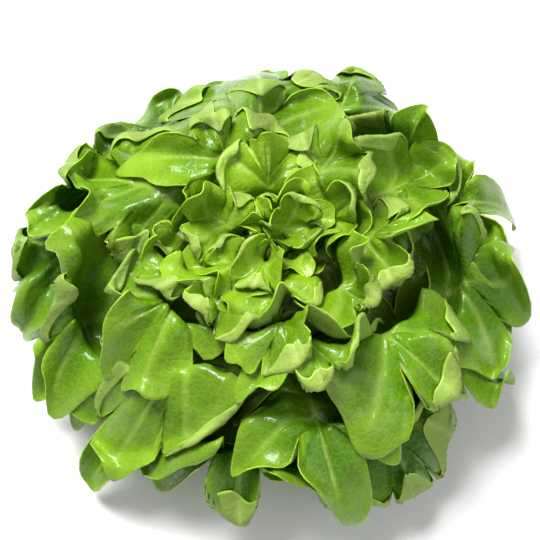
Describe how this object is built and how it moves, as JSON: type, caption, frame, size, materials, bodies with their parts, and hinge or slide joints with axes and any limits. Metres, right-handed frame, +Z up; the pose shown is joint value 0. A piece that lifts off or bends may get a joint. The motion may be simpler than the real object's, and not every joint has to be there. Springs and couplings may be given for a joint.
{
  "type": "oak leaf lettuce",
  "caption": "Whole head of green oak leaf lettuce, cut at the stem, with loose lobed and ruffled leaves, standing on its cut.",
  "frame": {"origin": "centre of the stem's cut, in the plane of the cut", "axes": "+Z up along the stem, +X to the right and +Y to the top of the picture"},
  "size_m": [0.2742, 0.27, 0.1184],
  "materials": {
    "leaf": "satin",
    "stem": "matte"
  },
  "bodies": {
    "root": {"leaf_01": "leaf", "leaf_02": "leaf", "leaf_03": "leaf", "leaf_04": "leaf", "leaf_05": "leaf", "leaf_06": "leaf", "leaf_07": "leaf", "leaf_08": "leaf", "leaf_09": "leaf", "leaf_10": "leaf", "leaf_11": "leaf", "leaf_12": "leaf", "leaf_13": "leaf", "leaf_14": "leaf", "leaf_15": "leaf", "leaf_16": "leaf", "leaf_17": "leaf", "leaf_18": "leaf", "leaf_19": "leaf", "leaf_20": "leaf", "leaf_21": "leaf", "leaf_22": "leaf", "leaf_23": "leaf", "leaf_24": "leaf", "leaf_25": "leaf", "leaf_26": "leaf", "leaf_27": "leaf", "leaf_28": "leaf", "leaf_29": "leaf", "leaf_30": "leaf", "leaf_31": "leaf", "leaf_32": "leaf", "leaf_33": "leaf", "leaf_34": "leaf", "leaf_35": "leaf", "leaf_36": "leaf", "leaf_37": "leaf", "leaf_38": "leaf", "leaf_39": "leaf", "stem": "stem"}
  },
  "joints": []
}
